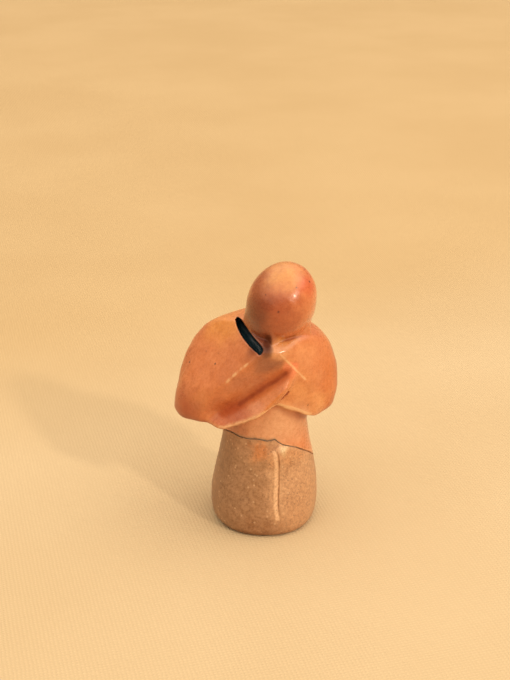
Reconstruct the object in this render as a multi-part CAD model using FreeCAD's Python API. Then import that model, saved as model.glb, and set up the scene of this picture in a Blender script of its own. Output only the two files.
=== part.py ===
"""Carved soapstone figurine: a small abstract standing person with a blank,
bowed head, crossed forearms and a rounded column base.

The figure is one carving with a thin irregular seam right through its waist, so
it comes apart into three solids: lower_stone, waist_seam and upper_stone.

Row frame, millimetres: origin at the middle of the resting face, +Z up, the
figure's front (the incised line) faces -Y.  The shapes are laid out in a working
frame (u to the right, v to the back, z up) that is turned TURN degrees about Z,
because the arms and the bowed head face that way.
"""
import FreeCAD, Part
import math
import os

V = FreeCAD.Vector

# ---------------------------------------------------------------- dimensions
TURN = -15.0                    # working frame about +Z, degrees

# column: height, half width on the -u side, half width on the +u side
COLUMN = [(0.0, 12.9, 12.9), (0.5, 13.7, 13.6), (1.2, 14.2, 14.2), (2.5, 14.8, 14.8),
          (5.0, 15.1, 14.9), (8.0, 14.9, 14.9), (12.0, 14.2, 14.6), (18.5, 12.7, 13.6),
          (26.0, 11.5, 12.2), (32.0, 11.2, 11.6), (40.0, 11.0, 11.4), (50.0, 10.6, 11.0)]
COLUMN_DEPTH = 1.05             # depth over width at the foot
COLUMN_POWER = 2.2              # superellipse power of the column's section

# arms and shoulders: height, -u reach, +u reach, front reach, back reach
TORSO = [(24.0, 21.0, 12.0, 14.5, 9.6), (27.0, 23.0, 13.6, 15.2, 10.8), (30.0, 24.0, 15.4, 16.0, 11.8),
         (33.0, 24.4, 17.4, 16.6, 12.6), (36.0, 24.2, 19.2, 17.0, 13.3), (40.0, 23.4, 20.0, 17.4, 13.9),
         (45.0, 22.1, 19.8, 17.0, 13.9), (50.0, 20.6, 18.3, 15.5, 12.8), (54.0, 18.0, 16.0, 13.0, 10.8),
         (57.0, 14.6, 12.6, 9.0, 8.6), (59.4, 9.4, 8.9, 4.5, 6.8), (60.6, 3.4, 5.0, 1.2, 5.2)]
TORSO_U0 = -2.0                 # the torso's section is centred here
TORSO_POWER_FRONT, TORSO_POWER_BACK = 2.1, 2.4

# lower edge of the arms: crest at the front, falling to both elbows
ARM_CREST_U, ARM_CREST_Z = 3.0, 40.3
ARM_DROP_LEFT, ARM_RUN_LEFT = 9.8, 10.0
ARM_DROP_RIGHT, ARM_RUN_RIGHT = 7.6, 7.5
ARM_BACK_Z = 31.2

# crossed arms: points of the facets, (u, towards the front, z)
RIDGE_A = ((-2.05, 14.4, 54.62), (-11.35, 13.8, 43.75))   # upper arm to first forearm, left
UPPER_ARM_LEFT = (-21.27, 2.5, 42.91)
GROOVE = ((6.73, 12.49, 49.07), (-14.1, 9.98, 35.14))    # groove between the two forearms
FOREARM_LOW = (-0.74, 14.6, 40.95)
RIDGE_B = ((3.76, 15.0, 55.17), (12.86, 9.6, 42.95))     # upper arm to forearm, right
UPPER_ARM_RIGHT = (12.5, 7.67, 52.83)
FOREARM_RIGHT = (5.07, 13.04, 43.1)
EYE = (-2.57, 323.0, 189.6)     # the crossing's edges are cut square to a sight line from here
CROSS_TOP, CROSS_TIP, CROSS_LOW = (3.8, 13.0, 54.3), (7.62, 13.0, 50.1), (3.5, 13.0, 40.1)

# head: centre, half sizes, lean to +u and to the front (mm per mm of height)
HEAD_C, HEAD_R, HEAD_LEAN_U, HEAD_LEAN_W = (4.35, 5.0, 65.85), (9.1, 9.4, 9.85), 0.15, -0.14
JAW_C, JAW_R, JAW_LEAN_U, JAW_LEAN_W = (3.4, 5.8, 58.6), (6.2, 6.2, 6.4), 0.12, -0.1
NECK_C, NECK_R0, NECK_R1 = (5.1, 3.8), 8.6, 6.2     # neck: axis, radius at the shoulders and inside the head
NECK_RIDGE = ((2.4, 13.4, 58.7), (2.5, 13.6, 54.4))
NECK_RIGHT = (11.8, 6.2, 57.2)
NECK_LEFT = (-4.4, 7.0, 57.2)
SLOT_WIDTH = 1.7                # open crescent between the jaw and the -u shoulder

# incised line down the front of the base
LINE_U, LINE_Z0, LINE_Z1, LINE_WIDTH, LINE_DEPTH = 3.8, 5.9, 25.0, 0.45, 0.45

# seam through the waist: height at the axis, fall to +u, rise to the front
SEAM_Z, SEAM_FALL_U, SEAM_RISE_W, SEAM_THICK = 22.0, -0.31, 0.50, 0.30
SEAM_WAVE = 0.45
SEAM_TOP, SEAM_TOP_SOFT = 30.2, 3.0      # the seam levels out below the arms


# ---------------------------------------------------------------- small helpers
def hermite(rows, z, k):
    """Monotone cubic through column k of the table, at height z."""
    zs = [r[0] for r in rows]
    vs = [r[k] for r in rows]
    n = len(zs)
    s = [(vs[i + 1] - vs[i]) / (zs[i + 1] - zs[i]) for i in range(n - 1)]
    d = [s[0]] + [0.0 if s[i - 1] * s[i] <= 0 else 2 * s[i - 1] * s[i] / (s[i - 1] + s[i])
                  for i in range(1, n - 1)] + [s[-1]]
    z = min(max(z, zs[0]), zs[-1])
    i = 0
    while i < n - 2 and z > zs[i + 1]:
        i += 1
    h = zs[i + 1] - zs[i]
    t = (z - zs[i]) / h
    return ((2 * t ** 3 - 3 * t ** 2 + 1) * vs[i] + (t ** 3 - 2 * t ** 2 + t) * h * d[i]
            + (-2 * t ** 3 + 3 * t ** 2) * vs[i + 1] + (t ** 3 - t ** 2) * h * d[i + 1])


def smooth(t):
    t = min(max(t, 0.0), 1.0)
    return t * t * (3 - 2 * t)


def pt(p):
    """(u, towards the front, z) to the working frame's (u, v, z)."""
    return V(p[0], -p[1], p[2])


def ring(points):
    """A closed smooth section through the points."""
    c = Part.BSplineCurve()
    c.interpolate(points, True)
    return Part.Wire([c.toShape()])


def half_space(a, b, c, outside, size=160.0):
    """A large block whose one face is the plane a, b, c, on the side of the point outside."""
    n = (b - a).cross(c - a)
    n.normalize()
    if (outside - a).dot(n) < 0:
        n = n * -1
    middle = V(0, 0, 42)
    mid = middle - n * (middle - a).dot(n)
    box = Part.makeBox(size, size, size, V(-size / 2, -size / 2, 0))
    box.Placement = FreeCAD.Placement(mid, FreeCAD.Rotation(V(0, 0, 1), n))
    return box


def egg(c, r, lean_u, lean_w):
    """Ellipsoid with its axis sheared sideways, smooth spline faces."""
    m = FreeCAD.Matrix(r[0], 0, lean_u * r[2], c[0],
                       0, r[1], -lean_w * r[2], -c[1],
                       0, 0, r[2], c[2],
                       0, 0, 0, 1)
    return Part.makeSphere(1.0).transformGeometry(m)


def one(shape):
    s = shape.removeSplitter()
    sol = sorted(s.Solids, key=lambda q: -q.Volume)
    return sol[0]


# ---------------------------------------------------------------- column
def superellipse(u0, ul, ur, wf, wb, pf, pb, n=36):
    """Points of a section with its own reach on each side."""
    out = []
    for i in range(n):
        t = 2 * math.pi * i / n
        c, s = math.cos(t), math.sin(t)
        p = pf if s < 0 else pb
        k = (abs(c) ** p + abs(s) ** p) ** (-1.0 / p)
        out.append(V(u0 + (ur if c > 0 else ul) * k * c, (wb if s > 0 else wf) * k * s, 0))
    return out


def loft(rows, section):
    return Part.makeLoft([ring([V(p.x, p.y, row[0]) for p in section(row)]) for row in rows], True, False)


def column_section(row):
    z, left, right = row
    deep = COLUMN_DEPTH - (COLUMN_DEPTH - 1.0) * smooth(z / 25.0)
    mean = 0.5 * (left + right) * deep
    return superellipse(0.0, left, right, mean, mean, COLUMN_POWER, COLUMN_POWER)


column = loft(COLUMN, column_section)

# ---------------------------------------------------------------- torso and arms
torso = loft(TORSO, lambda r: superellipse(TORSO_U0, r[1] + TORSO_U0, r[2] - TORSO_U0, r[3], r[4],
                                           TORSO_POWER_FRONT, TORSO_POWER_BACK))


def arm_edge(u):
    if u < ARM_CREST_U:
        return ARM_CREST_Z - ARM_DROP_LEFT * (1 - math.exp((u - ARM_CREST_U) / ARM_RUN_LEFT))
    return ARM_CREST_Z - ARM_DROP_RIGHT * (1 - math.exp((ARM_CREST_U - u) / ARM_RUN_RIGHT))


def edge_wire(v, share):
    """Profile below the arms at depth v: share 1 has the full crest, 0 is level."""
    us_left = [-40, -30, -24, -19, -14, -10, -6, -3, 0, ARM_CREST_U]
    us_right = [ARM_CREST_U, 5, 8, 11, 15, 20, 28, 40]

    def spline(us):
        c = Part.BSplineCurve()
        c.interpolate([V(u, v, ARM_BACK_Z + (arm_edge(u) - ARM_BACK_Z) * share) for u in us])
        return c.toShape()
    left, right = spline(us_left), spline(us_right)
    a = left.Vertexes[0].Point
    b = right.Vertexes[-1].Point
    low0, low1 = V(a.x, v, -20), V(b.x, v, -20)
    return Part.Wire([left, right, Part.makeLine(b, low1), Part.makeLine(low1, low0), Part.makeLine(low0, a)])


below_arms = Part.makeLoft([edge_wire(-40, 1.0), edge_wire(-8, 1.0), edge_wire(-2, 0.5),
                            edge_wire(4, 0.0), edge_wire(40, 0.0)], True, True)
arms = torso.cut(below_arms)

front = V(0, -60, 45)
a0, a1, up_l = pt(RIDGE_A[0]), pt(RIDGE_A[1]), pt(UPPER_ARM_LEFT)
g0, g1, low_l = pt(GROOVE[0]), pt(GROOVE[1]), pt(FOREARM_LOW)
b0, b1, up_r, fore_r = pt(RIDGE_B[0]), pt(RIDGE_B[1]), pt(UPPER_ARM_RIGHT), pt(FOREARM_RIGHT)
eye, ct, tip, cl = pt(EYE), pt(CROSS_TOP), pt(CROSS_TIP), pt(CROSS_LOW)

left_side = half_space(eye, ct, tip, V(-60, -13, 45)).common(half_space(eye, tip, cl, V(-60, -13, 45)))
cut_left = half_space(a0, a1, up_l, front).fuse(
    half_space(g0, g1, (a0 + a1) * 0.5, front).common(half_space(g0, g1, low_l, front)))
cut_right = half_space(b0, b1, up_r, front).fuse(half_space(b0, b1, fore_r, front))
arms = arms.cut(cut_left.common(left_side)).cut(cut_right.cut(left_side))

# ---------------------------------------------------------------- head, neck and slot
skull = egg(HEAD_C, HEAD_R, HEAD_LEAN_U, HEAD_LEAN_W)
jaw = egg(JAW_C, JAW_R, JAW_LEAN_U, JAW_LEAN_W)
skull_gap = egg(HEAD_C, tuple(r + SLOT_WIDTH for r in HEAD_R), HEAD_LEAN_U, HEAD_LEAN_W)
jaw_gap = egg(JAW_C, tuple(r + SLOT_WIDTH for r in JAW_R), JAW_LEAN_U, JAW_LEAN_W)
slot_side = Part.makeBox(43.0, 45.0, 60.0, V(-40.0, -40.0, 30.0))
arms = arms.cut(skull_gap.fuse(jaw_gap).common(slot_side))
neck = Part.makeCone(NECK_R0, NECK_R1, 18.0, V(NECK_C[0], -NECK_C[1], 44.0))
n0, n1, n2, n3 = pt(NECK_RIDGE[0]), pt(NECK_RIDGE[1]), pt(NECK_RIGHT), pt(NECK_LEFT)
neck = neck.cut(half_space(n0, n1, n2, V(30, -40, 55))).cut(half_space(n0, n1, n3, V(-30, -40, 55)))

body = column.fuse(arms)
body = body.fuse(neck)
body = body.fuse(skull.fuse(jaw))
body = one(body)

# ---------------------------------------------------------------- incised line
front_r = 15.4
tool = Part.makeBox(LINE_WIDTH, 8.0, LINE_Z1 - LINE_Z0, V(LINE_U - LINE_WIDTH / 2, -front_r - 4.0, LINE_Z0))


def front_at(z):
    left, right = hermite(COLUMN, z, 1), hermite(COLUMN, z, 2)
    deep = COLUMN_DEPTH - (COLUMN_DEPTH - 1.0) * smooth(z / 25.0)
    mean = 0.5 * (left + right) * deep
    return mean * (1 - (LINE_U / right) ** COLUMN_POWER) ** (1 / COLUMN_POWER)


zs = [LINE_Z0 + (LINE_Z1 - LINE_Z0) * i / 8.0 for i in range(9)]
inner = [V(LINE_U, -(front_at(z) - LINE_DEPTH * min(1.0, 0.15 + 3 * min(z - LINE_Z0, LINE_Z1 - z) / 6.0)), z)
         for z in zs]
c = Part.BSplineCurve()
c.interpolate(inner)
p0, p1 = inner[0], inner[-1]
o0, o1 = V(LINE_U, -22, p0.z), V(LINE_U, -22, p1.z)
blade = Part.Face(Part.Wire([c.toShape(), Part.makeLine(p1, o1), Part.makeLine(o1, o0), Part.makeLine(o0, p0)]))
blade.translate(V(-LINE_WIDTH / 2, 0, 0))
body = one(body.cut(blade.extrude(V(LINE_WIDTH, 0, 0))))


# ---------------------------------------------------------------- seam
def seam_height(u, v):
    w = -v
    wave = SEAM_WAVE * (math.sin(0.42 * u + 0.9) * math.cos(0.31 * w + 0.4) + 0.5 * math.sin(0.83 * u - 0.35 * w))
    z = SEAM_Z + SEAM_FALL_U * u + SEAM_RISE_W * w + wave
    h = min(max(0.5 + 0.5 * (SEAM_TOP - z) / SEAM_TOP_SOFT, 0.0), 1.0)
    return SEAM_TOP + (z - SEAM_TOP) * h - SEAM_TOP_SOFT * h * (1 - h)


grid = []
for i in range(15):
    u = -28.0 + 4.0 * i
    grid.append([V(u, -28.0 + 4.0 * j, seam_height(u, -28.0 + 4.0 * j)) for j in range(15)])
surf = Part.BSplineSurface()
surf.interpolate(grid)
sheet = surf.toShape()
low_face = sheet.copy()
low_face.translate(V(0, 0, -SEAM_THICK / 2))
top_face = sheet.copy()
top_face.translate(V(0, 0, SEAM_THICK / 2))
slab = low_face.extrude(V(0, 0, SEAM_THICK))
under = low_face.extrude(V(0, 0, -80))
over = top_face.extrude(V(0, 0, 110))

parts = {
    "lower_stone": one(body.common(under)),
    "waist_seam": one(body.common(slab)),
    "upper_stone": one(body.common(over)),
}

os.makedirs("parts", exist_ok=True)
total = 0.0
for name, solid in parts.items():
    solid.rotate(V(0, 0, 0), V(0, 0, 1), TURN)
    bb = solid.BoundBox
    total += solid.Volume
    print(name, "valid", solid.isValid(), "volume", round(solid.Volume, 1), "faces", len(solid.Faces),
          "x %.1f %.1f y %.1f %.1f z %.1f %.1f" % (bb.XMin, bb.XMax, bb.YMin, bb.YMax, bb.ZMin, bb.ZMax))
    solid.exportStep("parts/%s.step" % name)
print("volume cm3", round(total / 1000, 2), "mass g", round(total / 1000 * 2.75, 1))
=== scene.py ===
"""A small carved stone figurine: a rounded foot with an arched line cut in it, and crossed arms under a plain egg-shaped head, in two stones joined at a sloping seam."""
import math

import bpy
import numpy as np
from mathutils import Matrix, Vector


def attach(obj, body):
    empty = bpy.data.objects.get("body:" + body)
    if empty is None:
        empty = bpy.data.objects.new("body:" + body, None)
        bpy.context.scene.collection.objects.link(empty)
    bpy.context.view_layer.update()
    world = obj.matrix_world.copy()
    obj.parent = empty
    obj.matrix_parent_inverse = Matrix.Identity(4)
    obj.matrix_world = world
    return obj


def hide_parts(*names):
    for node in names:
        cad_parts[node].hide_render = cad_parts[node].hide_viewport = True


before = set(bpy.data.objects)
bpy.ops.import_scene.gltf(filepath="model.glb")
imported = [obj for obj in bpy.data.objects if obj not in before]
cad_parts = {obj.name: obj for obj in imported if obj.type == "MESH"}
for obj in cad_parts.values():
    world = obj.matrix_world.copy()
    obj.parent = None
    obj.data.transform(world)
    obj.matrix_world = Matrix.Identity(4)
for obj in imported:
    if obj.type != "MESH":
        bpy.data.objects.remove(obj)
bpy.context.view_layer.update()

TURN = math.radians(-15.0)
CT, ST = math.cos(TURN), math.sin(TURN)
STEP_UPPER, STEP_LOWER = 0.32, 0.27


# ------------------------------------------------------------------ the form, in millimetres
# Working frame: u to the right, w towards the front, z up; it is turned 15 degrees from the row frame.
def smin(a, b, k):
    h = np.clip(0.5 + 0.5 * (b - a) / k, 0, 1)
    return b + (a - b) * h - k * h * (1 - h)


def smax(a, b, k):
    return -smin(-a, -b, k)


def smooth(t):
    t = np.clip(t, 0, 1)
    return t * t * (3 - 2 * t)


def interp(z, zs, vs):
    """Monotone cubic through the table."""
    zs = np.asarray(zs, float)
    vs = np.asarray(vs, float)
    s = np.diff(vs) / np.diff(zs)
    d = np.zeros(len(zs))
    for i in range(1, len(zs) - 1):
        d[i] = 0 if s[i - 1] * s[i] <= 0 else 2 * s[i - 1] * s[i] / (s[i - 1] + s[i])
    d[0], d[-1] = s[0], s[-1]
    i = np.clip(np.searchsorted(zs, z) - 1, 0, len(zs) - 2)
    h = zs[i + 1] - zs[i]
    t = np.clip((z - zs[i]) / h, 0, 1)
    return ((2 * t**3 - 3 * t**2 + 1) * vs[i] + (t**3 - 2 * t**2 + t) * h * d[i]
            + (-2 * t**3 + 3 * t**2) * vs[i + 1] + (t**3 - t**2) * h * d[i + 1])


def round_cone(u, w, z, a, b, ra, rb):
    a = np.array(a, float)
    ab = np.array(b, float) - a
    t = np.clip(((u - a[0]) * ab[0] + (w - a[1]) * ab[1] + (z - a[2]) * ab[2]) / (ab @ ab), 0, 1)
    return np.sqrt((u - a[0] - t * ab[0])**2 + (w - a[1] - t * ab[1])**2 + (z - a[2] - t * ab[2])**2) - (ra + (rb - ra) * t)


def egg(u, w, z, c, r, lean_u, lean_w):
    dz = z - c[2]
    du = u - c[0] - lean_u * dz
    dw = w - c[1] - lean_w * dz
    k0 = np.sqrt((du / r[0])**2 + (dw / r[1])**2 + (dz / r[2])**2)
    k1 = np.sqrt((du / r[0]**2)**2 + (dw / r[1]**2)**2 + (dz / r[2]**2)**2) + 1e-9
    return k0 * (k0 - 1) / k1


def plane3(u, w, z, a, b, c, out):
    a, b, c, out = [np.array(q, float) for q in (a, b, c, out)]
    n = np.cross(b - a, c - a)
    n /= np.linalg.norm(n)
    if (out - a) @ n < 0:
        n = -n
    return (u - a[0]) * n[0] + (w - a[1]) * n[1] + (z - a[2]) * n[2]


def bulged(u, w, z, a, b, c, out, bulge):
    """Plane through the ridge a-b and c, pushed out between the ridge and c."""
    a, b, c = [np.array(q, float) for q in (a, b, c)]
    d = plane3(u, w, z, a, b, c, out)
    ab = (b - a) / np.linalg.norm(b - a)
    ac = c - a
    q = ac - ab * (ac @ ab)
    L = np.linalg.norm(q)
    q = q / L
    t = np.clip(((u - a[0]) * q[0] + (w - a[1]) * q[1] + (z - a[2]) * q[2]) / L, 0, 1)
    return d - bulge * 6.75 * t * (1 - t)**2


COL_Z = [0, 0.4, 1.0, 2.2, 4.5, 8, 12, 16, 20, 24, 28, 32, 40, 52]
COL_L = [12.8, 13.6, 14.2, 14.85, 15.15, 14.95, 14.2, 13.3, 12.4, 11.65, 11.2, 11.0, 10.9, 10.6]
COL_R = [12.2, 12.9, 13.4, 14.0, 14.45, 14.7, 14.6, 14.0, 13.3, 12.5, 11.9, 11.5, 11.2, 11.0]
COL_F = [14.0, 14.8, 15.2, 15.6, 15.7, 15.5, 14.8, 14.1, 13.4, 12.9, 12.2, 12.1, 12.2, 11.5]
TOR_Z = [22, 26, 29, 31, 33, 36, 40, 45, 50, 54, 57, 59.2, 60.6]
TOR_L = [-20, -22.4, -23.8, -24.4, -24.8, -24.5, -23.7, -22.8, -21.2, -18.5, -14.5, -8.6, -2]
TOR_R = [11, 13.0, 15.2, 16.9, 18.2, 19.3, 20.0, 19.7, 18.3, 15.9, 12.3, 8.6, 5]
TOR_F = [14.0, 15.0, 15.8, 16.2, 16.6, 17.0, 17.5, 17.6, 17.0, 15.9, 12.8, 6.8, 0]
TOR_B = [-9, -10.5, -11.6, -12.2, -12.7, -13.3, -13.9, -13.9, -12.8, -10.8, -8.6, -6.8, -5]
EDGE_U = [-25.519, -22.15, -17.424, -14.407, -12.499, -11.135, -8.7, -5.224, -2.043, 0.329, 2.955, 5.363, 8.032, 11.674, 15.083, 18.17]
EDGE_Z = [32.188, 31.75, 32.35, 32.45, 32.35, 32.4, 33.5, 35.2, 36.8, 38.1, 39.3, 38.4, 36.9, 34.011, 32.721, 33.099]


def column(u, w, z):
    rl, rr, rf = interp(z, COL_Z, COL_L), interp(z, COL_Z, COL_R), interp(z, COL_Z, COL_F)
    u = u - 0.35 * smooth((14 - z) / 14)
    r = rl + (rr - rl) * smooth((u + 5) / 10)
    rw = 0.51 * (rl + rr)
    rw = rw + (rf - rw) * smooth((w + 5) / 10)
    rho = ((np.abs(u) / r)**2.2 + (np.abs(w) / rw)**2.2)**(1 / 2.2)
    d = (rho - 1) * np.minimum(r, rw) * 0.85
    knee = np.exp(-((u - 4.2) / 3.4)**2 - np.where(z > 24.6, (z - 24.6) / 1.5, (z - 24.6) / 5.0)**2) * smooth(w / 6)
    return smax(smax(d - 0.55 * knee, -z, 0.3), z - 50, 2.0)


def torso(u, w, z):
    ul, ur, wf, wb = interp(z, TOR_Z, TOR_L), interp(z, TOR_Z, TOR_R), interp(z, TOR_Z, TOR_F), interp(z, TOR_Z, TOR_B)
    uc = -2.0
    ru = np.maximum(np.where(u < uc, uc - ul, ur - uc), 0.5)
    rw = np.maximum(np.where(w < 0, -wb, wf), 0.5)
    e = np.where(w > 0, 2.1, 2.4)
    rho = ((np.abs(u - uc) / ru)**e + (np.abs(w) / rw)**e)**(1 / e)
    d = (rho - 1) * (np.minimum(ru, rw) * 0.45 + np.maximum(ru, rw) * 0.25)
    return smax(d, z - 60.6, 1.0)


HEAD_C, HEAD_R, HEAD_LEAN_U, HEAD_LEAN_W = (4.35, 5.0, 65.85), (9.1, 9.4, 9.85), 0.15, -0.14
EYE = np.array((-2.571, 323.010, 189.561))
FRONT = (0, 60, 45)
A0, A1, A2 = (-2.053, 14.4, 54.624), (-11.348, 13.8, 43.751), (-21.272, 2.5, 42.913)
G0, G1, G2 = (6.733, 12.488, 49.068), (-14.098, 9.978, 35.137), (-0.738, 14.6, 40.95)
PIT = (5.95, 12.95, 42.9), (4.65, 13.35, 41.55)
B0, B1 = (3.762, 15.0, 55.168), (12.856, 9.6, 42.946)
B2, B3 = (12.499, 7.668, 52.834), (5.07, 13.037, 43.1)
N0, N1, N2, N3 = (1.697, 13.1, 59.28), (2.03, 13.5, 54.52), (10.609, 6.8, 57.457), (-3.6, 7.7, 57.4)
T0, T1 = (3.803, 13, 54.296), (7.624, 13, 50.103)
T2, T3 = (6.386, 13, 43.373), (2.722, 13, 39.427)
SLOT_DIR = math.radians(23.2)
SLOT_S = [44.683, 45.564, 46.695, 48.488, 50.549, 52.606, 54.009]
SLOT_U = [-1.336, -1.724, -2.569, -4.075, -5.438, -6.53, -7.043]
SLOT_W = [0.586, 1.237, 1.565, 1.504, 1.338, 1.05, 0.76]
SLOT_T = [34.295, 33.835, 33.03, 31.638, 29.931, 28.882, 28.096]


def sight(u, w, z, a, b):
    """Plane through EYE, a and b, positive to the right."""
    n = np.cross(np.array(a) - EYE, np.array(b) - EYE)
    n /= np.linalg.norm(n)
    if n[0] < 0:
        n = -n
    return (u - EYE[0]) * n[0] + (w - EYE[1]) * n[1] + (z - EYE[2]) * n[2]


def head(u, w, z):
    h = egg(u, w, z, HEAD_C, HEAD_R, HEAD_LEAN_U, HEAD_LEAN_W)
    nape = round_cone(u, w, z, (6.0, 0.6, 52), (6.0, 1.4, 62), 5.9, 6.5)
    return smin(h, nape, 4.0)


def slot(u, w, z):
    cp, sp = math.cos(SLOT_DIR), math.sin(SLOT_DIR)
    s, t = z * cp - w * sp, w * cp + z * sp
    d = (np.abs(u - interp(s, SLOT_S, SLOT_U)) - interp(s, SLOT_S, SLOT_W)) * 0.72
    d = smax(d, np.maximum(s - SLOT_S[-1] - 0.2, SLOT_S[0] - 0.5 - s), 0.8)
    return smax(d, (interp(s, SLOT_S, SLOT_T) - 9.0) - t, 1.5)


def arms(u, w, z):
    edge = 31.0 + (interp(u, EDGE_U, EDGE_Z) - 31.0) * smooth((w + 4) / 10)
    base = smax(torso(u, w, z), (edge - z) * 0.8, 1.2 + 0.6 * smooth((-u - 9) / 9) + 1.2 * smooth((u - 9) / 7))
    e1, e2, e3 = sight(u, w, z, T0, T1), sight(u, w, z, T1, T2), sight(u, w, z, T2, T3)
    fade = smooth((-u - 12) / 9)
    fade_r = smooth((u - 11) / 6)
    near_tip = smooth((u - 1) / 5)
    lower = plane3(u, w, z, G0, G1, G2, FRONT)
    fore = plane3(u, w, z, B0, B1, B3, FRONT)
    t = 1 - (1 - smooth((e2 + 1.4) / 2.8)) * (1 - smooth((e3 + 1.1) / 1.8))
    low = lower + (fore - lower) * t
    band = plane3(u, w, z, G0, G1, (np.array(A0) + np.array(A1)) / 2, FRONT)
    groove = smin(band, low, 0.8 - 0.35 * near_tip + 3.5 * fade)
    groove = groove + (fore - groove) * smooth((e1 + 0.3) / 0.6)
    cut = smax(bulged(u, w, z, A0, A1, A2, FRONT, 0.7), groove, 0.35 + 7 * fade)
    cut = smax(cut, bulged(u, w, z, B0, B1, B2, FRONT, 0.5), 0.35 + 5 * fade_r)
    body = smax(base, cut, 1.0 + 1.6 * fade + 2.0 * fade_r)
    return smax(body, -round_cone(u, w, z, PIT[0], PIT[1], 0.85, 0.6), 0.35)


def stone(u, w, z):
    """The whole figure before the slot is cut."""
    h = head(u, w, z)
    neck = smax(round_cone(u, w, z, (2.6, 4.6, 49), (3.4, 5.4, 60), 10.0, 8.6),
                smax(plane3(u, w, z, N0, N1, N2, (30, 40, 60)), plane3(u, w, z, N0, N1, N3, (-30, 40, 60)), 0.3), 0.4)
    neck = smax(smax(neck, z - 62, 2.0), 53.0 - z, 0.5)
    hn = smin(h, neck, 0.7 + 2.4 * smooth((1.4 - u) / 3.0))
    body = smin(column(u, w, z), arms(u, w, z), 0.8 + 2.0 * smooth((u - 1) / 6))
    return smin(body, hn, 0.4)


def form(u, w, z):
    return smax(stone(u, w, z), -slot(u, w, z), 0.3)


# ------------------------------------------------------------------ the two stones and the seam between them
SEAM_U = [-12.5, -8.8, -6.6, -3.9, -2.0, 0.65, 2.8, 3.6, 4.9, 6.9, 8.5, 9.9, 11.7, 13.3]
SEAM_DZ = [0.25, 0.0, -0.75, -0.55, 0.05, 0.25, 1.35, 0.9, 0.4, 0.6, 0.8, 0.6, 0.5, 0.2]


def seam_z(u, w):
    """Height of the seam under a point."""
    wave = 0.35 * np.sin(0.42 * u + 0.9) * np.cos(0.31 * w + 0.4) + 0.2 * np.sin(0.83 * u - 0.35 * w)
    front = smooth((w + 2) / 6)
    z = 22.0 - 0.31 * u + 0.50 * w + wave * (1 - front) + np.interp(u, SEAM_U, SEAM_DZ) * front
    return smin(z, 30.2, 1.5)


def handwork(u, w, z):
    """Slight unevenness left by the file and the polishing cloth, under a tenth of a millimetre."""
    a = np.sin(0.83 * u + 0.37 * w + 0.29 * z + 0.6) * np.sin(0.41 * w - 0.71 * z + 1.7)
    b = np.sin(1.63 * u - 0.55 * w + 0.91 * z + 2.1) * np.sin(0.67 * u + 1.21 * z - 0.8 * w)
    return 0.035 * a + 0.014 * b


LINE_Z = [5.6, 6.5, 8.2, 12.0, 16.3, 22.0, 23.9, 24.6, 25.2]
LINE_U = [4.3, 4.15, 3.83, 3.74, 3.91, 3.89, 3.72, 3.5, 3.25]


def cut_line(u, w, z):
    """The upright line cut into the foot: a steep wall on the right, a broad bevel on the left."""
    across = u - np.interp(z, LINE_Z, LINE_U)
    depth = np.interp(z, [5.4, 6.6, 9.0, 21.5, 23.8, 24.9, 25.4], [0, 0.14, 0.32, 0.32, 0.27, 0.17, 0.0])
    depth = np.where(w > 5, depth, 0)
    left = smooth((across + 1.25) / 1.25)
    right = smooth((0.3 - across) / 0.3)
    return depth * np.where(across < 0, left, right)


def upper_form(u, w, z):
    d = smax(stone(u, w, z) + handwork(u, w, z), -slot(u, w, z), 0.3)
    return smax(d, (seam_z(u, w) + 0.09 - z) * 0.86, 0.16)


def lower_form(u, w, z):
    d = stone(u, w, z) + handwork(u, w, z) * smooth(z / 2)
    d = d + cut_line(u, w, z)
    return smax(d, (z - seam_z(u, w) + 0.09) * 0.86, 0.16)


def sample(f, p):
    out = np.empty(len(p))
    for i in range(0, len(p), 200000):
        q = p[i:i + 200000]
        out[i:i + 200000] = f(q[:, 0], q[:, 1], q[:, 2])
    return out


def gradient(f, p, e):
    g = np.empty_like(p)
    for k in range(3):
        o = np.zeros(3)
        o[k] = e
        g[:, k] = (sample(f, p + o) - sample(f, p - o)) / (2 * e)
    return g


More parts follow.
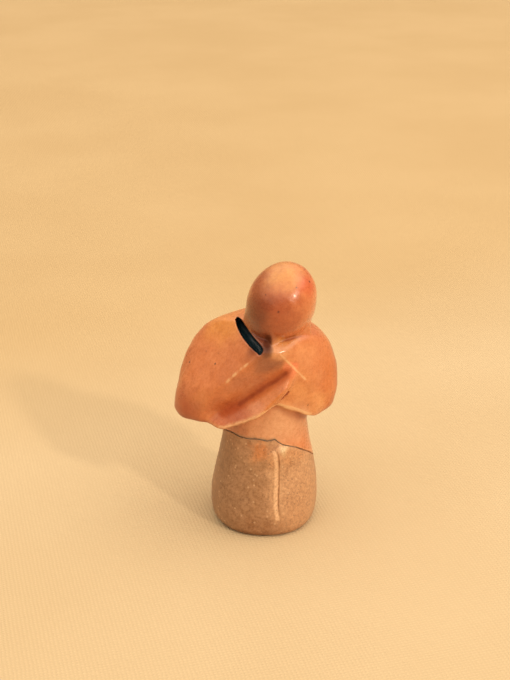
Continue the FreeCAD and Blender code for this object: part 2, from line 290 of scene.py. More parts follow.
def surface(f, lo, hi, h):
    """Quad mesh of f = 0 on a grid of step h, drawn onto the surface: points, quads and normals."""
    lo = np.array(lo, float)
    n = [int(math.ceil((hi[k] - lo[k]) / h / 4)) * 4 for k in range(3)]
    ax = [lo[k] + h * np.arange(n[k] + 1) for k in range(3)]
    coarse = np.meshgrid(*[a[::4] for a in ax], indexing="ij")
    v = sample(f, np.stack([c.ravel() for c in coarse], 1)).reshape(coarse[0].shape)
    corners = [v[i:v.shape[0] - 1 + i, j:v.shape[1] - 1 + j, k:v.shape[2] - 1 + k] for i in (0, 1) for j in (0, 1) for k in (0, 1)]
    near = np.min(np.abs(corners), 0) < 4 * h * 1.3
    near |= (np.min(corners, 0) < 0) & (np.max(corners, 0) > 0)
    fill = corners[0]
    for k in range(3):
        near, fill = np.repeat(near, 4, k), np.repeat(fill, 4, k)
    F = np.full([m + 1 for m in n], 9.0)
    F[:-1, :-1, :-1] = np.sign(fill) * 9
    mask = np.zeros(F.shape, bool)
    for i in (0, 1):
        for j in (0, 1):
            for k in (0, 1):
                mask[i:n[0] + i, j:n[1] + j, k:n[2] + k] |= near
    idx = np.argwhere(mask)
    F[mask] = sample(f, lo + idx * h)
    inside = F < 0
    count = np.zeros(n, np.int8)
    for i in (0, 1):
        for j in (0, 1):
            for k in (0, 1):
                count += inside[i:n[0] + i, j:n[1] + j, k:n[2] + k]
    cells = np.argwhere((count > 0) & (count < 8))
    number = np.full(n, -1, np.int64)
    number[tuple(cells.T)] = np.arange(len(cells))
    acc, cnt = np.zeros((len(cells), 3)), np.zeros(len(cells))
    for a in range(3):
        for i in (0, 1):
            for j in (0, 1):
                off = np.zeros(3, int)
                off[(a + 1) % 3], off[(a + 2) % 3] = i, j
                c0 = cells + off
                c1 = c0.copy()
                c1[:, a] += 1
                f0, f1 = F[tuple(c0.T)], F[tuple(c1.T)]
                m = (f0 < 0) != (f1 < 0)
                t = f0[m] / (f0[m] - f1[m])
                pos = np.repeat(off[None].astype(float), m.sum(), 0)
                pos[:, a] += t
                acc[m] += pos
                cnt[m] += 1
    p = lo + (cells + acc / cnt[:, None]) * h
    quads = []
    for a in range(3):
        b, c = (a + 1) % 3, (a + 2) % 3
        sl0 = [slice(1, None)] * 3
        sl1 = [slice(1, None)] * 3
        sl0[a], sl1[a] = slice(0, -1), slice(1, None)
        s0, s1 = inside[tuple(sl0)], inside[tuple(sl1)]
        base = np.argwhere(s0 != s1)
        first = s0[tuple(base.T)]
        shift = np.ones(3, int)
        shift[a] = 0
        node = base + shift
        eb, ec = np.eye(3, dtype=int)[b], np.eye(3, dtype=int)[c]
        q = [number[tuple(x.T)] for x in (node - eb - ec, node - ec, node, node - eb)]
        q = np.stack(q, 1)
        q[~first] = q[~first][:, ::-1]
        quads.append(q[(q >= 0).all(1)])
    quads = np.concatenate(quads)
    start = p.copy()
    for _ in range(4):
        g = gradient(f, p, 0.04)
        step = sample(f, p)[:, None] * g / np.maximum((g * g).sum(1), 0.05)[:, None]
        length = np.linalg.norm(step, axis=1)
        p = p - step * np.minimum(1, 0.4 * h / np.maximum(length, 1e-9))[:, None]
        away = p - start
        length = np.linalg.norm(away, axis=1)
        p = start + away * np.minimum(1, 0.7 * h / np.maximum(length, 1e-9))[:, None]
    g = gradient(f, p, 0.12)
    normal = g / np.maximum(np.linalg.norm(g, axis=1), 1e-9)[:, None]
    return p, quads, normal


def to_row(p, scale=0.001):
    return np.stack([(p[:, 0] * CT + p[:, 1] * ST), (p[:, 0] * ST - p[:, 1] * CT), p[:, 2]], 1) * scale


def mesh_object(name, p, faces, normal=None, attributes=()):
    """An object in the row frame from points in the working frame, in millimetres. The frames differ in handedness, so faces turn over."""
    faces = faces[:, ::-1]
    me = bpy.data.meshes.new(name)
    me.vertices.add(len(p))
    me.vertices.foreach_set("co", to_row(p).astype(np.float32).ravel())
    me.loops.add(faces.size)
    me.loops.foreach_set("vertex_index", faces.astype(np.int32).ravel())
    me.polygons.add(len(faces))
    me.polygons.foreach_set("loop_start", (np.arange(len(faces)) * faces.shape[1]).astype(np.int32))
    me.update(calc_edges=True)
    me.validate()
    me.polygons.foreach_set("use_smooth", np.ones(len(me.polygons), bool))
    for key, values in attributes:
        values = np.asarray(values, np.float32)
        if values.ndim == 1:
            a = me.attributes.new(key, "FLOAT", "POINT")
            a.data.foreach_set("value", values)
        else:
            a = me.attributes.new(key, "FLOAT_COLOR", "POINT")
            a.data.foreach_set("color", np.concatenate([values, np.ones((len(values), 1), np.float32)], 1).ravel())
    if normal is not None:
        me.normals_split_custom_set_from_vertices([tuple(q) for q in to_row(normal, 1.0)])
    ob = bpy.data.objects.new(name, me)
    bpy.context.scene.collection.objects.link(ob)
    return ob


def hollows(f, p, n):
    """How far each point sits in a hollow, and how far it stands on an edge, both from 0 to 1."""
    deep = np.zeros(len(p))
    edge = np.zeros(len(p))
    for r, share in ((0.5, 0.3), (1.1, 0.4), (2.4, 0.3)):
        deep += share * np.clip(1 - sample(f, p + n * r) / r, 0, 1)
    for r, share in ((0.5, 0.5), (1.0, 0.5)):
        edge += share * np.clip(1 + sample(f, p - n * r) / r, 0, 1)
    return np.clip(deep * 1.6, 0, 1), np.clip(edge * 1.8, 0, 1)


def near_line(p, points, r):
    """1 on the line through the points, fading to 0 beyond r millimetres."""
    best = np.full(len(p), 1e9)
    for a, b in zip(points, points[1:]):
        a, b = np.array(a, float), np.array(b, float)
        ab = b - a
        t = np.clip((p - a) @ ab / (ab @ ab), 0, 1)
        best = np.minimum(best, np.linalg.norm(p - a - t[:, None] * ab, axis=1))
    return smooth(1 - best / r)


def rough_noise(p, scale, seed):
    """Smooth random values between about -1 and 1, with features about scale millimetres across."""
    rng = np.random.default_rng(seed)
    out = np.zeros(len(p))
    for _ in range(10):
        k = rng.normal(size=3)
        k *= rng.uniform(0.7, 1.5) * 2 * math.pi / (2.2 * scale) / np.linalg.norm(k)
        out += np.sin(p @ k + rng.uniform(0, 6.28))
    return np.clip(out / 3.2, -1, 1)
# Paler lines along ridges and crests, partly rubbed wear and partly painted highlight: points, reach and strength.
WORN_AND_LIT_LINES = [
    ([(-11.9, 13.6, 32.8), (-9.7, 14.6, 33.3), (-7.6, 15.2, 34.5), (-5.5, 15.7, 35.4), (-3.4, 16.2, 36.5), (-1.3, 16.3, 37.7), (0.9, 15.7, 39.1), (2.4, 14.5, 39.7), (3.3, 13.2, 39.4)], 1.0, 1.0),
    ([(3.3, 13.3, 39.3), (4.6, 13.0, 38.9), (6.2, 12.5, 38.0), (7.6, 11.8, 37.2), (9.2, 10.9, 36.2), (12, 8.8, 34.3)], 1.4, 1.0),
    ([(5.8, 14.2, 44.0), (4.8, 14.5, 42.6), (3.3, 14.7, 40.6)], 0.6, 0.55),
    ([(-1.5, 14.1, 53.9), (-5.2, 14.1, 51.1), (-8.3, 13.6, 48.0), (-11.8, 12.8, 43.9)], 1.0, 0.5),
    ([(4.0, 14.6, 54.6), (7.1, 12.9, 50.6), (9.3, 11.7, 47.7), (11.8, 10.0, 44.3)], 0.8, 0.6),
]
# Darker lines along the groove (reddish stain with painted shade) and under the chin (painted shade): points, reach,
# colour and strength.
STAIN_AND_SHADE_LINES = [
    ([(5.4, 12.7, 48.2), (3.5, 12.5, 46.6), (0.1, 12.3, 44.2), (-3.4, 12.2, 41.5), (-6.6, 11.9, 39.0), (-10.6, 11.2, 36.6)], 2.6, (166, 72, 38), 1.3),
    ([(5.6, 12.7, 48.4), (3.5, 12.5, 46.6), (0.1, 12.3, 44.2), (-3.4, 12.2, 41.5), (-6.6, 11.9, 39.0)], 0.9, (126, 46, 24), 1.3),
    ([(-0.3, 13.4, 54.6), (0.7, 13.6, 54.9)], 2.0, (74, 38, 26), 8),
    ([(0.4, 13.2, 55.0), (0.7, 12.9, 58.2)], 1.5, (84, 42, 28), 6),
]
# Soft patches of colour, mostly the stone's own tone; some are painted shade and painted highlight, as marked: centre,
# radii, colour, strength.
UPPER_BASE = (216, 130, 78)
UPPER_PATCHES = [
    ((4.5, 8, 75), (5, 5, 3.5), (212, 148, 80), 5),         # pale crown
    ((10.8, 8.9, 72.2), (2.6, 4, 2.6), (206, 92, 54), 4),   # red cloud, right of the crown
    ((-2, 7.6, 72), (3, 4, 3.6), (172, 90, 38), 5),        # darker, left of the crown
    ((3.1, 14.3, 64), (5, 4, 6), (172, 86, 50), 7),         # front of the head
    ((-2.8, 11.5, 64.5), (3.4, 4.5, 6), (116, 54, 28), 10),  # its left side, painted shade
    ((-1, 12.6, 61.8), (2.6, 3, 2.4), (124, 56, 32), 7),    # under it, painted shade
    ((-0.6, 12.4, 57.2), (2.4, 3, 3), (116, 60, 40), 12),   # left of the neck, painted shade
    ((5.2, 11.5, 56.8), (2.2, 3, 1.8), (212, 144, 82), 7),  # right of the neck
    ((-11.4, 0, 57.7), (5, 5, 4), (240, 160, 80), 4),       # left shoulder
    ((-15, 6, 45), (6, 7, 6), (222, 134, 80), 4),           # left upper arm
    ((-21.5, 7, 35.2), (4, 6, 4.5), (178, 88, 48), 5),      # left elbow
    ((0.6, 14.2, 51.8), (3.2, 4, 2.6), (158, 96, 66), 8),        # first forearm by the neck, painted shadow of the head
    ((-5, 12.5, 45.5), (4.5, 4, 3.6), (200, 124, 84), 6),   # first forearm
    ((0.8, 14, 42.0), (4.5, 3, 1.8), (212, 126, 60), 7),      # second forearm
    ((-8.5, 13, 36.6), (4, 4, 2.6), (180, 90, 48), 9),      # its left end
    ((6.9, 12.7, 49.6), (1.3, 2, 1.2), (244, 140, 96), 14), # where the groove runs out, painted highlight
    ((9.4, 11, 41.3), (5, 4, 4), (222, 148, 90), 4),        # right forearm
    ((10, 10.9, 51.4), (4, 4, 4), (228, 152, 98), 4),       # right upper arm
    ((18.5, 3, 43), (3.5, 6, 8), (208, 118, 60), 6),        # outer right arm
    ((15, 7, 37.4), (3.5, 4, 2.4), (224, 152, 90), 4),      # right elbow
    # painted light on the small upward-facing shelf under the chin
    ((3.4, 14.5, 54.6), (2.2, 2.4, 1.5), (228, 160, 108), 9),
    ((4, 11.5, 33), (8, 5, 5), (230, 170, 126), 9),         # waist
    # painted shadow under the left forearm's crest
    ((-7.5, 10, 29.4), (4, 4, 2.4), (196, 130, 94), 5),
    ((-10, 14, 33.6), (3.6, 3, 1.8), (208, 116, 66), 6),
]
LOWER_BASE = (172, 122, 84)
LOWER_PATCHES = [
    ((10, 11, 14), (6, 8, 14), (198, 148, 106), 5),
    ((3.2, 14, 15), (2.2, 4, 9), (206, 158, 116), 4),
    ((-10, 10, 14), (6.5, 9, 14), (138, 98, 66), 8),
    ((-2.8, 13.7, 16), (3, 4, 8), (146, 102, 64), 4),
    ((-1.5, 15.5, 3), (7, 5, 3), (134, 82, 42), 7),
    ((9, 13, 6), (4, 4, 5), (188, 133, 90), 3),
    ((4.9, 12.6, 25.0), (1.2, 3, 0.8), (240, 208, 156), 10),     # knee, painted highlight
    ((-1.9, 12.7, 25.1), (1.7, 3, 1.7), (204, 118, 52), 8),  # orange stain
    ((6.5, 11, 23.6), (9, 6, 2.6), (208, 144, 94), 3),
]


def paint(p, base, patches, seed, stain_and_shade=()):
    """The stone's colour at each point, in linear light, including the painted shade and painted highlight of some
    patches and lines.
    """
    q = p + 0.9 * np.stack([rough_noise(p, 2.6, seed + k) for k in range(3)], 1)
    total = np.ones(len(p))
    out = np.tile(np.array(srgb(*base)), (len(p), 1))
    for centre, radii, colour, strength in patches:
        d = (q - np.array(centre, float)) / np.array(radii, float)
        weight = strength * np.exp(-1.2 * (d * d).sum(1))
        out += weight[:, None] * np.array(srgb(*colour))
        total += weight
    out /= total[:, None]
    # painted shade, with reddish stain along the groove, on the darker lines
    for points, reach, colour, strength in stain_and_shade:
        weight = strength * near_line(p, points, reach)
        share = weight / (1 + weight)
        out = out * (1 - share[:, None]) + share[:, None] * np.array(srgb(*colour))
    return out


def srgb(r, g, b):
    return tuple(((c / 255 + 0.055) / 1.055)**2.4 if c > 10.3 else c / 255 / 12.92 for c in (r, g, b))




def make_stones():
    p, q, n = surface(upper_form, (-26.5, -16.5, 10), (23, 20, 77), STEP_UPPER)
    deep, edge = hollows(upper_form, p, n)
    # painted shade: the slot's inner walls, which stay in shadow, get a dark blue-grey colour in the material
    inside = smooth((-stone(p[:, 0], p[:, 1], p[:, 2]) - 0.15) / 0.7)
    edge *= 0.4 * (1 - smooth(1.5 - slot(p[:, 0], p[:, 1], p[:, 2])) * 0.9)
    uneven = 0.78 + 0.4 * smooth(0.5 + 0.9 * rough_noise(p, 1.3, 91))
    # painted highlight with wear: paler lines along the ridges and crests
    for points, radius, share in WORN_AND_LIT_LINES:
        ends = smooth(np.linalg.norm(p - np.array(points[-1]), axis=1) / 3.0) if share < 1 else 1.0
        edge = np.maximum(edge, share * ends * uneven * near_line(p, points, radius))
    matt = np.zeros(len(p))
    for points, reach, colour, strength in STAIN_AND_SHADE_LINES:
        matt = np.maximum(matt, near_line(p, points, reach * 1.25))
    tone = paint(p, UPPER_BASE, UPPER_PATCHES, 41, STAIN_AND_SHADE_LINES)
    over = p[:, 2] - seam_z(p[:, 0], p[:, 1])
    dust = smooth((p[:, 1] - 4) / 4) * smooth((p[:, 0] + 9) / 3) * smooth((4.5 - p[:, 0]) / 2) * smooth((1.0 - over) / 0.7)
    dust *= 0.35 + 0.65 * smooth(0.5 + 0.8 * rough_noise(p, 1.1, 77))
    tone += (0.6 * dust)[:, None] * (np.array(srgb(150, 128, 104)) - tone)
    upper = mesh_object("upper_stone_carving", p, q, n, [("matt", matt), ("hollow", deep), ("edge", edge), ("inside", inside), ("paint", tone)])
    p, q, n = surface(lower_form, (-17, -18, -0.9), (17, 18, 38), STEP_LOWER)
    deep, edge = hollows(lower_form, p, n)
    across = p[:, 0] - np.interp(p[:, 2], LINE_Z, LINE_U)
    # painted highlight: the broad left bevel of the cut line is made paler where it faces the light
    lit_bevel = smooth((across + 1.5) / 0.5) * smooth((-0.05 - across) / 0.25) * (cut_line(p[:, 0], p[:, 1], p[:, 2]) > 0)
    edge = np.maximum(edge * 0.8, 0.5 * lit_bevel)
    tone = paint(p, LOWER_BASE, LOWER_PATCHES, 42)
    tone += (0.75 * lit_bevel)[:, None] * (np.array(srgb(238, 192, 146)) - tone)
    lower = mesh_object("lower_stone_carving", p, q, n, [("hollow", deep), ("edge", edge), ("paint", tone)])
    return upper, lower


def make_seam():
    """A thin closed sheet on the seam, a hair proud of the stone in places."""
    turns = 360
    th = np.arange(turns) * 2 * math.pi / turns
    cu, cw = np.cos(th), np.sin(th)

    def rim(level, proud):
        lo, hi = np.full(turns, 3.0), np.full(turns, 20.0)
        for _ in range(40):
            mid = (lo + hi) / 2
            u, w = cu * mid, cw * mid
            d = stone(u, w, seam_z(u, w) + level) + handwork(u, w, seam_z(u, w)) - proud
            lo, hi = np.where(d < 0, mid, lo), np.where(d < 0, hi, mid)
        return (lo + hi) / 2

    k = rough_noise(np.stack([cu * 11, cw * 11, cu * 0], 1), 2.4, 31)
    k2 = rough_noise(np.stack([cu * 11, cw * 11, cu * 0], 1), 0.9, 32)
    proud = 0.0 + 0.035 * k + 0.02 * k2
    thick = 0.10 + 0.03 * k2
    r0 = rim(0.0, proud)
    pts, faces = [], []

    def ring(r, dz):
        u, w = cu * r, cw * r
        start = len(pts)
        pts.extend(zip(u, w, seam_z(u, w) + dz))
        return start

    levels = []
    for share in (0.3, 0.6, 0.85, 0.95):
        levels.append(ring(r0 * share, thick))
    for lift, back in ((0.85, 0.05), (0.5, 0.01), (0.0, 0.0), (-0.5, 0.01), (-0.85, 0.05)):
        levels.append(ring(r0 - back, thick * lift))
    for share in (0.95, 0.85, 0.6, 0.3):
        levels.append(ring(r0 * share, -thick))
    top_c = len(pts)
    pts.append((0.0, 0.0, float(seam_z(0.0, 0.0)) + 0.1))
    bottom_c = len(pts)
    pts.append((0.0, 0.0, float(seam_z(0.0, 0.0)) - 0.1))
    for a, b in zip(levels, levels[1:]):
        for i in range(turns):
            j = (i + 1) % turns
            faces.append((a + i, b + i, b + j, a + j))
    me = bpy.data.meshes.new("waist_seam_sheet")
    tris = [(levels[0] + (i + 1) % turns, top_c, levels[0] + i) for i in range(turns)]
    tris += [(levels[-1] + i, bottom_c, levels[-1] + (i + 1) % turns) for i in range(turns)]
    row = to_row(np.array(pts, float))
    me.from_pydata([tuple(q) for q in row], [], [tuple(reversed(f)) for f in faces] + [tuple(reversed(t)) for t in tris])
    me.validate()
    me.polygons.foreach_set("use_smooth", np.ones(len(me.polygons), bool))
    me.update()
    ob = bpy.data.objects.new("waist_seam_sheet", me)
    bpy.context.scene.collection.objects.link(ob)
    return ob


# ------------------------------------------------------------------ materials
class Graph:
    def __init__(self, name):
        self.mat = bpy.data.materials.new(name)
        self.mat.use_nodes = True
        self.nt = self.mat.node_tree
        self.nt.nodes.clear()
        self.out = self.nt.nodes.new("ShaderNodeOutputMaterial")
        self.bsdf = self.nt.nodes.new("ShaderNodeBsdfPrincipled")
        self.nt.links.new(self.bsdf.outputs[0], self.out.inputs[0])
        tc = self.nt.nodes.new("ShaderNodeTexCoord")
        self.mm = self.vector("SCALE", tc.outputs["Object"], scale=1000.0)

    def put(self, socket, value):
        if isinstance(value, bpy.types.NodeSocket):
            self.nt.links.new(value, socket)
        elif value is not None:
            socket.default_value = value

    def vector(self, op, a, b=None, scale=None):
        n = self.nt.nodes.new("ShaderNodeVectorMath")
        n.operation = op
        self.put(n.inputs[0], a)
        if b is not None:
            self.put(n.inputs[1], b)
        if scale is not None:
            self.put(n.inputs["Scale"], scale)
        return n.outputs[0]

    def math(self, op, a, b=None, c=None, clamp=False):
        n = self.nt.nodes.new("ShaderNodeMath")
        n.operation = op
        n.use_clamp = clamp
        self.put(n.inputs[0], a)
        self.put(n.inputs[1], b)
        self.put(n.inputs[2], c)
        return n.outputs[0]

    def noise(self, scale, detail=3.0, rough=0.5, vector=None, distortion=0.0, kind="FBM"):
        n = self.nt.nodes.new("ShaderNodeTexNoise")
        n.noise_type = kind
        self.put(n.inputs["Vector"], vector or self.mm)
        self.put(n.inputs["Scale"], scale)
        self.put(n.inputs["Detail"], detail)
        self.put(n.inputs["Roughness"], rough)
        self.put(n.inputs["Distortion"], distortion)
        return n.outputs["Fac"]

    def voronoi(self, scale, vector=None, feature="F1", randomness=1.0, out="Distance"):
        n = self.nt.nodes.new("ShaderNodeTexVoronoi")
        n.feature = feature
        self.put(n.inputs["Vector"], vector or self.mm)
        self.put(n.inputs["Scale"], scale)
        self.put(n.inputs["Randomness"], randomness)
        return n.outputs[out]

    def ramp(self, fac, stops, kind="LINEAR"):
        n = self.nt.nodes.new("ShaderNodeValToRGB")
        n.color_ramp.interpolation = kind
        el = n.color_ramp.elements
        while len(el) < len(stops):
            el.new(0.5)
        for e, (pos, value) in zip(el, stops):
            e.position = pos
            e.color = (value, value, value, 1) if not isinstance(value, tuple) else (*value, 1)
        self.put(n.inputs[0], fac)
        return n.outputs[0]

    def span(self, value, a, b, to=(0.0, 1.0)):
        n = self.nt.nodes.new("ShaderNodeMapRange")
        n.interpolation_type = "SMOOTHSTEP"
        self.put(n.inputs["Value"], value)
        for key, x in (("From Min", a), ("From Max", b), ("To Min", to[0]), ("To Max", to[1])):
            self.put(n.inputs[key], x)
        return n.outputs[0]

    def mix(self, fac, a, b, kind="MIX"):
        n = self.nt.nodes.new("ShaderNodeMix")
        n.data_type = "RGBA"
        n.blend_type = kind
        self.put(n.inputs[0], fac)
        for s, x in ((n.inputs[6], a), (n.inputs[7], b)):
            self.put(s, (*x, 1) if isinstance(x, tuple) and len(x) == 3 else x)
        return n.outputs[2]

    def attribute(self, name, out="Fac"):
        n = self.nt.nodes.new("ShaderNodeAttribute")
        n.attribute_name = name
        return n.outputs[out]

    def split(self, colour):
        n = self.nt.nodes.new("ShaderNodeSeparateColor")
        self.put(n.inputs[0], colour)
        return n.outputs[0], n.outputs[1], n.outputs[2]

    def bump(self, height, distance, strength=1.0, normal=None):
        n = self.nt.nodes.new("ShaderNodeBump")
        self.put(n.inputs["Height"], height)
        self.put(n.inputs["Distance"], distance)
        self.put(n.inputs["Strength"], strength)
        if normal is not None:
            self.put(n.inputs["Normal"], normal)
        return n.outputs[0]


def upper_material():
    g = Graph("orange_soapstone")
    col = g.attribute("paint", "Color")
    cloud = g.noise(0.2, 5, 0.6, distortion=0.8)
    col = g.mix(1.0, col, g.ramp(cloud, [(0.30, (0.88, 0.82, 0.79)), (0.5, (1.0, 1.0, 1.0)), (0.70, (1.07, 1.13, 1.16))]), "MULTIPLY")
    fine = g.noise(0.95, 5, 0.62)
    col = g.mix(1.0, col, g.ramp(fine, [(0.32, (0.93, 0.88, 0.85)), (0.5, (1.0, 1.0, 1.0)), (0.68, (1.04, 1.08, 1.1))]), "MULTIPLY")
    grain = g.noise(3.4, 3, 0.6)
    col = g.mix(0.28, col, g.ramp(grain, [(0.32, (0.78, 0.70, 0.66)), (0.5, (1.0, 1.0, 1.0)), (0.68, (1.14, 1.24, 1.3))]), "MULTIPLY")
    speck = g.voronoi(0.33)
    size = g.noise(0.5, 2, 0.5)
    speck = g.math("ADD", speck, g.span(size, 0.42, 0.68, (0.12, -0.04)))
    col = g.mix(g.span(speck, 0.12, 0.07, (0.0, 0.7)), col, srgb(84, 38, 26))
    edge = g.attribute("edge")
    wear_and_highlight = g.math("MULTIPLY", g.span(edge, 0.24, 0.6), g.span(fine, 0.3, 0.6, (0.5, 1.0)), clamp=True)
    # painted highlight with wear on the edges and ridges
    col = g.mix(g.math("MULTIPLY", wear_and_highlight, 0.72), col, srgb(246, 200, 146))
    hollow_shade = g.span(g.attribute("hollow"), 0.3, 0.95)
    # painted shade: the colour is darkened in hollows and creases, where shade falls
    col = g.mix(hollow_shade, col, g.mix(1.0, col, (0.62, 0.42, 0.36), "MULTIPLY"))
    # painted shade: dark blue-grey on the slot's shadowed inner walls
    col = g.mix(g.attribute("inside"), col, srgb(50, 76, 88))
    g.put(g.bsdf.inputs["Base Color"], col)
    rough = g.math("ADD", g.span(fine, 0.3, 0.7, (0.22, 0.34)), g.math("MULTIPLY", hollow_shade, 0.25))
    rough = g.math("ADD", rough, g.math("MULTIPLY", wear_and_highlight, 0.12))
    g.put(g.bsdf.inputs["Roughness"], rough)
    matt = g.attribute("matt")
    g.put(g.bsdf.inputs["Coat Weight"], g.span(matt, 0.0, 0.7, (0.4, 0.0)))
    g.put(g.bsdf.inputs["Specular IOR Level"], g.span(matt, 0.0, 0.8, (0.42, 0.08)))
    g.bsdf.inputs["Coat Roughness"].default_value = 0.17
    scratch = g.noise(1.0, 4, 0.7, vector=g.vector("MULTIPLY", g.mm, (6.0, 1.0, 1.3)))
    b1 = g.bump(g.noise(1.1, 4, 0.6), 0.00005)
    b2 = g.bump(scratch, 0.00002, normal=b1)
    b3 = g.bump(g.span(speck, 0.16, 0.06), 0.00003, normal=b2)
    g.put(g.bsdf.inputs["Normal"], b3)
    return g.mat


def lower_material():
    g = Graph("grey_pink_soapstone")
    col = g.attribute("paint", "Color")
    cloud = g.noise(0.22, 4, 0.6, distortion=0.8)
    col = g.mix(1.0, col, g.ramp(cloud, [(0.30, (0.88, 0.86, 0.84)), (0.5, (1.0, 1.0, 1.0)), (0.70, (1.08, 1.1, 1.12))]), "MULTIPLY")
    grain = g.noise(1.5, 5, 0.72)
    col = g.mix(1.0, col, g.ramp(grain, [(0.30, (0.60, 0.54, 0.50)), (0.48, (1.0, 1.0, 1.0)), (0.66, (1.30, 1.42, 1.5))]), "MULTIPLY")
    fleck = g.voronoi(0.8)
    col = g.mix(g.span(fleck, 0.22, 0.1, (0.0, 0.55)), col, srgb(92, 62, 46))
    light = g.voronoi(0.5, vector=g.vector("ADD", g.mm, (3.7, 1.3, 8.1)))
    col = g.mix(g.span(light, 0.20, 0.08, (0.0, 0.5)), col, srgb(226, 190, 150))
    edge = g.attribute("edge")
    wear_and_highlight = g.math("MULTIPLY", g.span(edge, 0.08, 0.4), g.span(g.noise(0.9, 4, 0.6), 0.3, 0.6, (0.3, 1.0)), clamp=True)
    # painted highlight with wear on the edges and on the lit bevel of the cut line
    col = g.mix(g.math("MULTIPLY", wear_and_highlight, 0.4), col, srgb(226, 178, 136))
    hollow_shade = g.span(g.attribute("hollow"), 0.3, 0.95)
    # painted shade: the colour is darkened in hollows and creases, where shade falls
    col = g.mix(hollow_shade, col, g.mix(1.0, col, (0.74, 0.62, 0.52), "MULTIPLY"))
    g.put(g.bsdf.inputs["Base Color"], col)
    rough = g.math("ADD", g.span(grain, 0.3, 0.7, (0.34, 0.5)), g.math("MULTIPLY", hollow_shade, 0.2))
    g.put(g.bsdf.inputs["Roughness"], rough)
    b1 = g.bump(g.noise(1.2, 4, 0.6), 0.00007)
    b2 = g.bump(grain, 0.00004, normal=b1)
    g.put(g.bsdf.inputs["Normal"], b2)
    return g.mat


def seam_material():
    g = Graph("grey_joint_paste")
    n = g.noise(0.7, 4, 0.6)
    col = g.mix(g.span(n, 0.35, 0.65), srgb(96, 92, 88), srgb(148, 130, 112))
    sides = g.nt.nodes.new("ShaderNodeSeparateXYZ")
    g.put(sides.inputs[0], g.mm)
    col = g.mix(g.span(sides.outputs[0], 4, 9), col, srgb(150, 104, 72))
    g.put(g.bsdf.inputs["Base Color"], col)
    g.put(g.bsdf.inputs["Roughness"], g.span(n, 0.3, 0.7, (0.6, 0.8)))
    g.put(g.bsdf.inputs["Normal"], g.bump(g.noise(3.0, 3, 0.6), 0.00005))
    return g.mat


def floor_material():
    g = Graph("cream_floor")
    n = g.noise(0.01, 3, 0.5)
    col = g.mix(g.span(n, 0.3, 0.7), srgb(204, 180, 141), srgb(209, 186, 148))
    parts = g.nt.nodes.new("ShaderNodeSeparateXYZ")
    g.put(parts.inputs[0], g.mm)
    # painted shade: the floor colour darkens and warms towards the back
    away = g.math("ADD", g.math("MULTIPLY", parts.outputs[1], 0.97), g.math("MULTIPLY", parts.outputs[0], -0.26))
    col = g.mix(g.span(away, 45, 170), col, g.mix(1.0, col, (0.94, 0.88, 0.76), "MULTIPLY"))
    weave = g.nt.nodes.new("ShaderNodeTexWave")
    weave.wave_type = "BANDS"
    weave.bands_direction = "X"
    g.put(weave.inputs["Vector"], g.mm)
    g.put(weave.inputs["Scale"], 0.32)
    weave.inputs["Distortion"].default_value = 1.5
    weave.inputs["Detail"].default_value = 2.0
    weft = g.nt.nodes.new("ShaderNodeTexWave")
    weft.wave_type = "BANDS"
    weft.bands_direction = "Y"
    g.put(weft.inputs["Vector"], g.mm)
    g.put(weft.inputs["Scale"], 0.32)
    weft.inputs["Distortion"].default_value = 1.5
    weft.inputs["Detail"].default_value = 2.0
    cloth = g.math("MULTIPLY", weave.outputs["Fac"], weft.outputs["Fac"])
    col = g.mix(g.math("MULTIPLY", cloth, 0.2), col, srgb(236, 216, 176))
    g.put(g.bsdf.inputs["Base Color"], col)
    g.put(g.bsdf.inputs["Normal"], g.bump(cloth, 0.00012))
    g.bsdf.inputs["Roughness"].default_value = 0.8
    g.bsdf.inputs["Specular IOR Level"].default_value = 0.2
    return g.mat


upper, lower = make_stones()
seam = make_seam()
for ob, node, slot_name, mat in ((upper, "upper_stone", "upper_stone", upper_material()), (lower, "lower_stone", "lower_stone", lower_material()), (seam, "waist_seam", "waist_seam", seam_material())):
    ob.data.materials.append(mat)
    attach(ob, "root")
    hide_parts(node)

# ------------------------------------------------------------------ floor, light and camera
bpy.ops.mesh.primitive_plane_add(size=6.0, location=(0, 0, 0))
floor = bpy.context.object
floor.name = "floor"
floor.data.materials.append(floor_material())


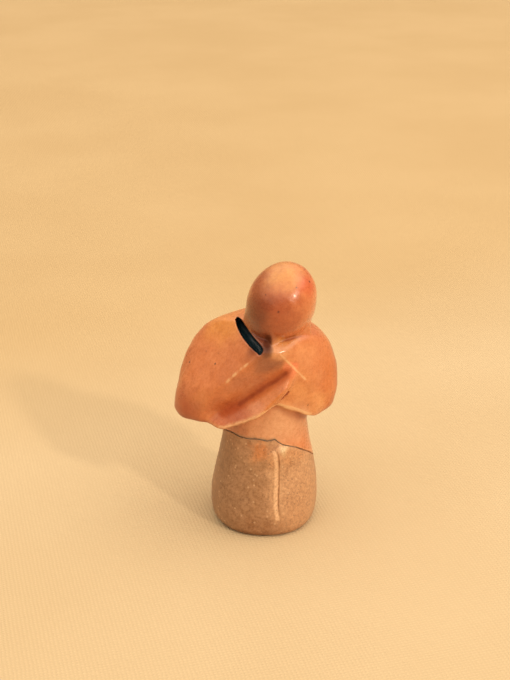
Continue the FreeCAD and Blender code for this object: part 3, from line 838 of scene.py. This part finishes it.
def aim(ob, at):
    ob.rotation_euler = (Vector(at) - ob.location).to_track_quat("-Z", "Y").to_euler()


def area(name, at, size, energy, colour, target=(0, 0, 0.04), shape="DISK"):
    light = bpy.data.lights.new(name, "AREA")
    light.shape = shape
    light.size = size
    light.energy = energy
    light.color = colour
    ob = bpy.data.objects.new(name, light)
    ob.location = at
    bpy.context.scene.collection.objects.link(ob)
    aim(ob, target)
    return ob


area("key", (0.42 * 2.0, -0.75 * 2.0, 0.04 + 0.51 * 2.0), 0.14, 12.0, (1.0, 0.85, 0.68))
area("soft_right", (1.15, -0.35, 1.5), 1.5, 6.0, (1.0, 0.85, 0.68))
world = bpy.data.worlds.new("studio")
world.use_nodes = True
wt = world.node_tree
back = wt.nodes["Background"]
back.inputs[0].default_value = (1.0, 0.85, 0.68, 1)
direction = wt.nodes.new("ShaderNodeTexCoord")
parts = wt.nodes.new("ShaderNodeSeparateXYZ")
wt.links.new(direction.outputs["Generated"], parts.inputs[0])
level = wt.nodes.new("ShaderNodeMapRange")
level.interpolation_type = "SMOOTHSTEP"
for key, x in (("From Min", 0.25), ("From Max", 0.85), ("To Min", 0.26), ("To Max", 1.76)):
    level.inputs[key].default_value = x
wt.links.new(parts.outputs["Z"], level.inputs["Value"])
wt.links.new(level.outputs[0], back.inputs[1])
scene = bpy.context.scene
scene.world = world
scene.view_settings.view_transform = "Standard"
scene.view_settings.look = "None"

cam = bpy.data.cameras.new("camera")
cam.sensor_fit = "AUTO"
cam.sensor_width = 36.0
cam.lens = 1300.0 / 680.0 * 36.0
cam.clip_start, cam.clip_end = 0.01, 20.0
camera = bpy.data.objects.new("camera", cam)
right = Vector((CT, ST, 0.0))
forward = Vector((0.2382, 0.8891, -0.3907)).normalized()
up = right.cross(forward)
camera.matrix_world = Matrix(((right.x, up.x, -forward.x, -0.08608), (right.y, up.y, -forward.y, -0.31134), (right.z, up.z, -forward.z, 0.18956), (0, 0, 0, 1)))
scene.collection.objects.link(camera)
scene.camera = camera
